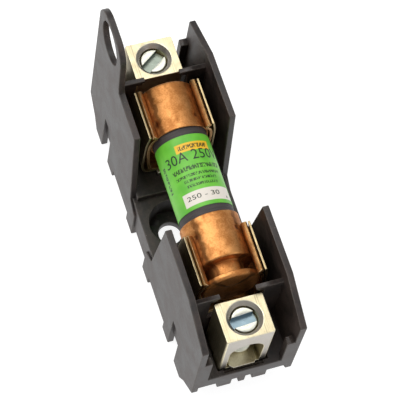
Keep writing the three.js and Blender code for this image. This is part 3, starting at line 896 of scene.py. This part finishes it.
def pressDimples(bm, radius, dimples):
    size, depth = capFinish["dimpleRadius"], capFinish["dimpleDepth"]
    dented = bm.verts.layers.float.new("dent")
    for vert in bm.verts:
        reach = math.hypot(vert.co.x, vert.co.z)
        if abs(reach - radius) > 0.02:
            continue
        angle = math.atan2(vert.co.x, vert.co.z)
        for along, turn in dimples:
            around = (angle - math.radians(turn) + math.pi) % (2 * math.pi) - math.pi
            away = math.hypot(vert.co.y - along, around * radius)
            dip = depth * math.exp(-(away / size) ** 2)
            sink = (radius - dip) / radius if dip > 0.003 else 1
            vert[dented] = max(vert[dented], dip / depth)
            vert.co.x *= sink
            vert.co.z *= sink


figures = {
    "raised": 0.03,      # the label's paper is this much lower
    "rooted": 0.042,     # depth of a figure's foot below the label's outside
    "clear": 0.004,      # and of its face
    "slice": 0.35,       # widest flat piece of a figure
    # text, middle along the fuse, height, first and last angle from the top
    "rows": [("30A 250V", 6.15, 2.6, -60, 64), ("250 - 30", -4.3, 1.15, -39, 31),
             ("A", -5.35, 0.6, 47, 53)],
}


def flatText(text):
    # a bmesh of the text lying in the XY plane, its box moved to 0..1 both ways
    curve = bpy.data.curves.new("figure", "FONT")
    curve.body = text
    curve.resolution_u = 3
    holder = bpy.data.objects.new("figure", curve)
    bpy.context.scene.collection.objects.link(holder)
    mesh = bpy.data.meshes.new_from_object(holder.evaluated_get(bpy.context.evaluated_depsgraph_get()))
    bm = bmesh.new()
    bm.from_mesh(mesh)
    bpy.data.objects.remove(holder)
    bpy.data.curves.remove(curve)
    bpy.data.meshes.remove(mesh)
    bmesh.ops.remove_doubles(bm, verts=bm.verts, dist=0.0005)
    low = Vector((min(v.co.x for v in bm.verts), min(v.co.y for v in bm.verts), 0))
    high = Vector((max(v.co.x for v in bm.verts), max(v.co.y for v in bm.verts), 1))
    bmesh.ops.translate(bm, vec=(-low.x, -low.y, 0), verts=bm.verts)
    bmesh.ops.scale(bm, vec=(1 / (high.x - low.x), 1 / (high.y - low.y), 1), verts=bm.verts)
    return bm


def makeFigures():
    radius = radiusOf("fuse_label")
    whole = bmesh.new()
    for text, middle, height, first, last in figures["rows"]:
        bm = flatText(text)
        width = math.radians(last - first) * radius
        cutAt = figures["slice"]
        while cutAt < width:
            bmesh.ops.bisect_plane(bm, geom=bm.verts[:] + bm.edges[:] + bm.faces[:],
                                   plane_co=(cutAt / width, 0, 0), plane_no=(1, 0, 0))
            cutAt += figures["slice"]
        made = bmesh.ops.extrude_face_region(bm, geom=bm.faces[:])["geom"]
        lifted = {v for v in made if isinstance(v, bmesh.types.BMVert)}
        for vert in bm.verts:
            turn = math.radians(first + (last - first) * vert.co.x)
            reach = radius - figures["clear" if vert in lifted else "rooted"]
            vert.co = (reach * math.sin(turn), middle + (vert.co.y - 0.5) * height,
                       reach * math.cos(turn))
        bmesh.ops.recalc_face_normals(bm, faces=bm.faces)
        part = bpy.data.meshes.new("row")
        bm.to_mesh(part)
        bm.free()
        whole.from_mesh(part)
        bpy.data.meshes.remove(part)
    finished("labelFigures", toFuseAxis(whole), "labelInk", "label_paper", "fuse", "fuse_label")


def finishCap(name, node, profile, barrel):
    # barrel is the profile's long edge, which takes the dimples
    bm = spun(profile, capFinish["steps"], cuts={barrel: capFinish["rows"][node]})
    pressDimples(bm, radiusOf(node), capFinish["dimples"][node])
    finished(name, toFuseAxis(bm), "capCopper", "cap_copper", "fuse", node)


def makePlainCap():
    node = "end_cap_plain"
    inner, end = spanOf(node, 1)
    radius = radiusOf(node)
    bore = radius - capFinish["wall"]
    chamfer, boreChamfer, bend = (capFinish[key] for key in ("chamfer", "boreChamfer", "bend"))
    floor = end - capFinish["endWall"]
    profile = [(0, floor), (bore, floor), (bore, inner + boreChamfer), (bore + boreChamfer, inner),
               (radius - chamfer, inner), (radius, inner + chamfer)]
    barrel = len(profile) - 1
    profile += [(radius - bend * (1 - math.cos(a)), end - bend * (1 - math.sin(a)))
                for a in quarterTurn(8)]
    profile += [(reach, end - depth) for reach, depth in capFinish["dish"]]
    profile += [(0, end - capFinish["dish"][-1][1])]
    finishCap("plainCap", node, profile, barrel)


def makeGroovedCap():
    node = "end_cap_grooved"
    end, inner = spanOf(node, 1)
    radius = radiusOf(node)
    bore = radius - capFinish["wall"]
    chamfer, boreChamfer, lip, rim = (capFinish[key] for key in ("chamfer", "boreChamfer", "lip", "rim"))
    far, near = capFinish["grooveFar"], capFinish["grooveNear"]
    neck, fillet = capFinish["neck"], capFinish["neckFillet"]
    profile = [(0, end + capFinish["flangeDish"][0][1])]
    profile += [(reach, end + depth) for reach, depth in capFinish["flangeDish"]]
    profile += [(radius - rim + rim * math.cos(a), end + rim - rim * math.sin(a))
                for a in reversed(quarterTurn(8))]
    profile += [(radius, near - chamfer), (radius - chamfer, near), (neck + fillet, near),
                (neck, near + fillet), (neck, far - fillet), (neck + fillet, far)]
    profile += [(radius - lip * (1 - math.sin(a)), far + lip * (1 - math.cos(a))) for a in quarterTurn(6)]
    barrel = len(profile) - 1
    floor = far + capFinish["innerWall"]
    profile += [(radius, inner - chamfer), (radius - chamfer, inner), (bore + boreChamfer, inner),
                (bore, inner - boreChamfer), (bore, floor), (0, floor)]
    finishCap("groovedCap", node, profile, barrel)


tubeFinish = {"bore": 5.2, "chamfer": 0.15, "steps": 96}
labelFinish = {"paper": 0.07, "chamfer": 0.03, "steps": 160}


def makeSleeve(name, node, radius, bore, chamfer, steps, surface):
    # a tube round the fuse axis with its outer edges broken
    near, far = spanOf(node, 1)
    profile = [(bore, near), (radius - chamfer, near), (radius, near + chamfer), (radius, far - chamfer),
               (radius - chamfer, far), (bore, far), (bore, near)]
    finished(name, toFuseAxis(spun(profile, steps)), *surface, "fuse", node)


def makeTube():
    makeSleeve("fibreTube", "fuse_tube", radiusOf("fuse_tube"), tubeFinish["bore"], tubeFinish["chamfer"],
               tubeFinish["steps"], ("tubeFibre", "tube_fibre"))


def makeLabel():
    radius = radiusOf("fuse_label") - figures["raised"]
    makeSleeve("wrapLabel", "fuse_label", radius, radius - labelFinish["paper"], labelFinish["chamfer"],
               labelFinish["steps"], ("labelPaper", "label_paper"))


makePlainCap()
makeGroovedCap()
makeTube()
makeLabel()
makeFigures()
print("stage: fuse wound, capped and labelled")


# inner pieces that keep their CAD shape

innerFinish = {
    "washerFibre": ["closing_washer_far", "closing_washer_near", "partition_far", "partition_near"],
    "quartzSand": ["sand_fill_far", "sand_fill_near"],
    "linkSilver": ["short_circuit_link_far", "short_circuit_link_near", "heater_strip"],
    "turnedBrass": ["heat_absorber", "trigger_plunger"],
    "springSteel": ["trigger_spring"],
}


def dressInnerPieces():
    for material, names in innerFinish.items():
        for name in names:
            if not nodes[name].material_slots:
                nodes[name].data.materials.append(None)
            for slot in nodes[name].material_slots:
                slot.material = materials[material]


dressInnerPieces()
print("stage: inner pieces dressed")
